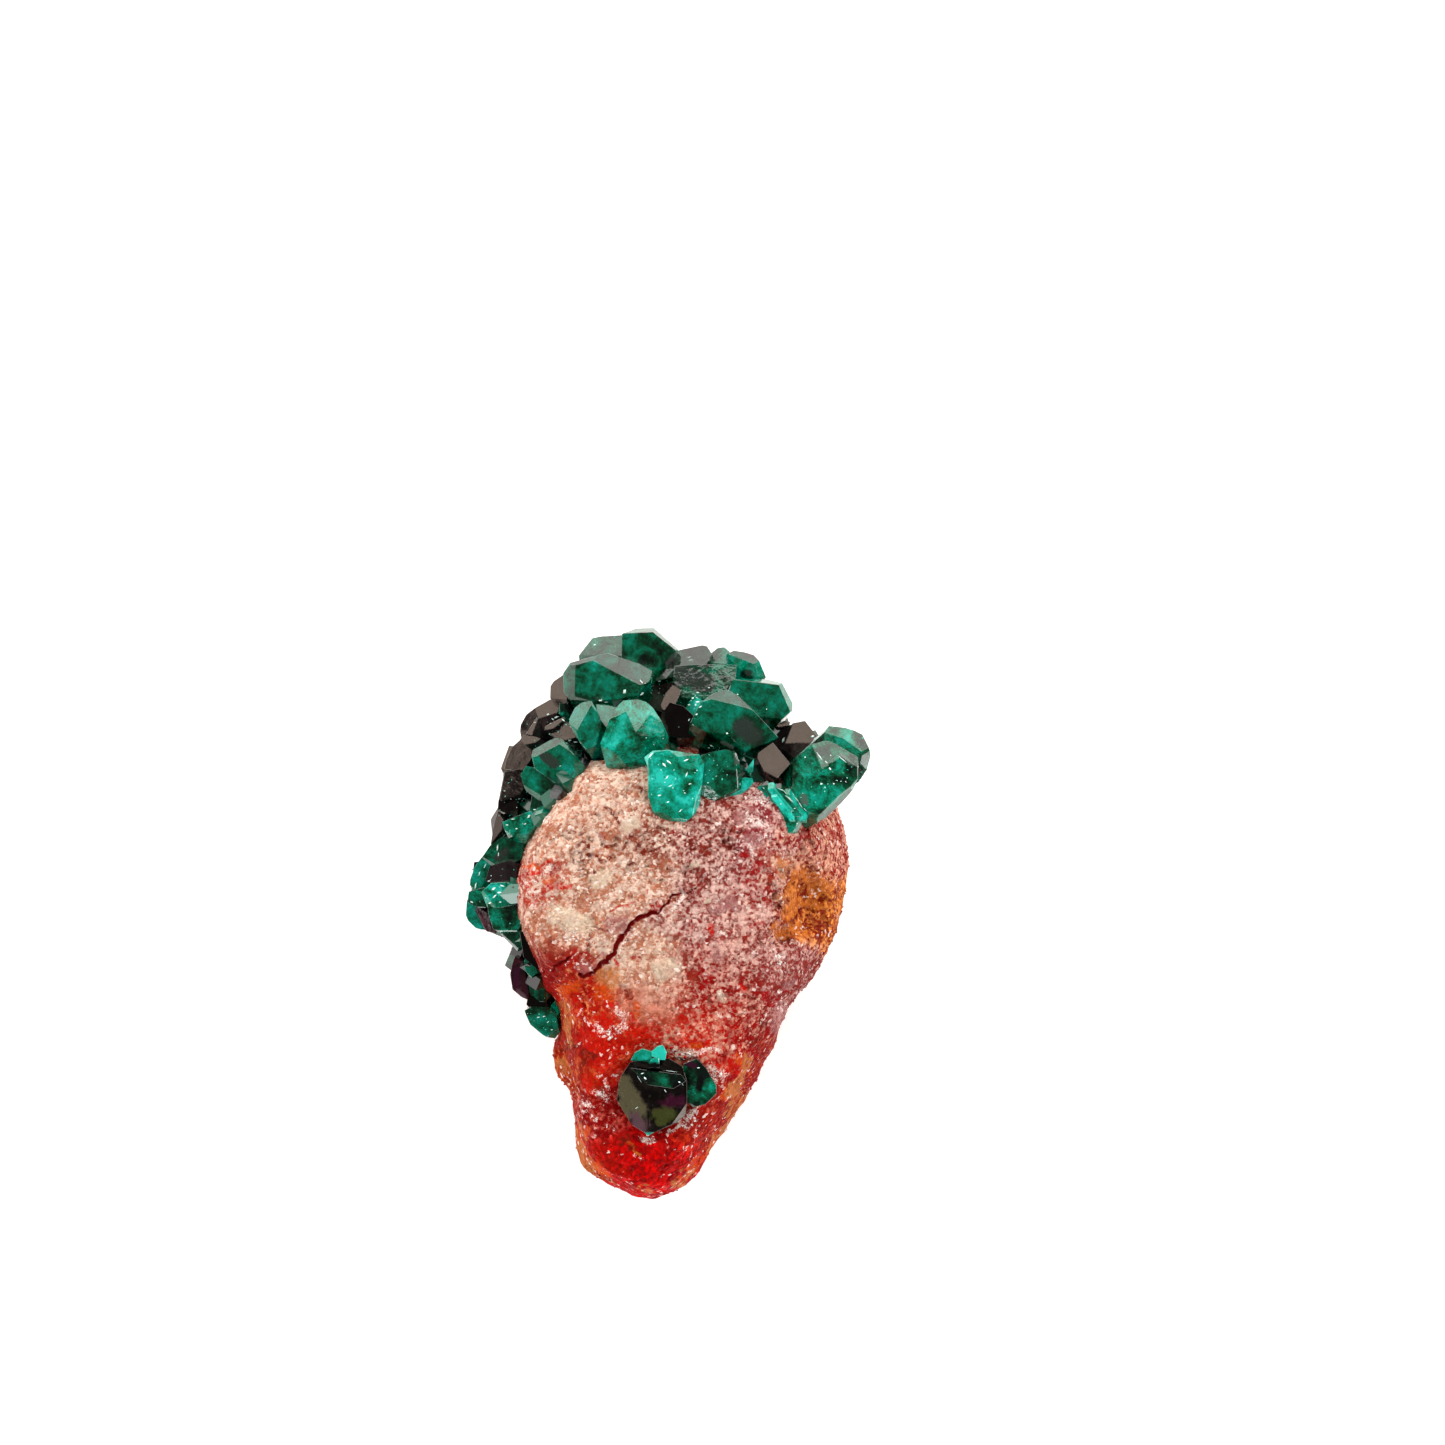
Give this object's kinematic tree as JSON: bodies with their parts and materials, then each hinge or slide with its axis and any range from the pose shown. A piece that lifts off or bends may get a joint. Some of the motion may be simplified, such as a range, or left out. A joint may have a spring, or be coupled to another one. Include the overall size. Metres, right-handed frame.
{
  "type": "dioptase on matrix mineral specimen",
  "caption": "Tapered wedge of iron-stained rock lying on its flat back, with stubby green dioptase crystals crusting its broad end and one flank.",
  "frame": {"origin": "centre of the specimen's outline in plan, on the flat back that it rests on", "axes": "+Z out of the broken front face, up from the flat back; +Y towards the broad end with the crown of crystals; +X across the wedge, to the side where the rock is bare"},
  "size_m": [0.0426, 0.0602, 0.0287],
  "materials": {
    "matrix_rock": "rough, sugary iron-stained rock; red and orange with cream patches",
    "dioptase": "vitreous, deep emerald green, see-through where thin"
  },
  "bodies": {
    "root": {"matrix": "matrix_rock", "crystal_crust": "dioptase", "front_crystal_pair": "dioptase"}
  },
  "joints": []
}
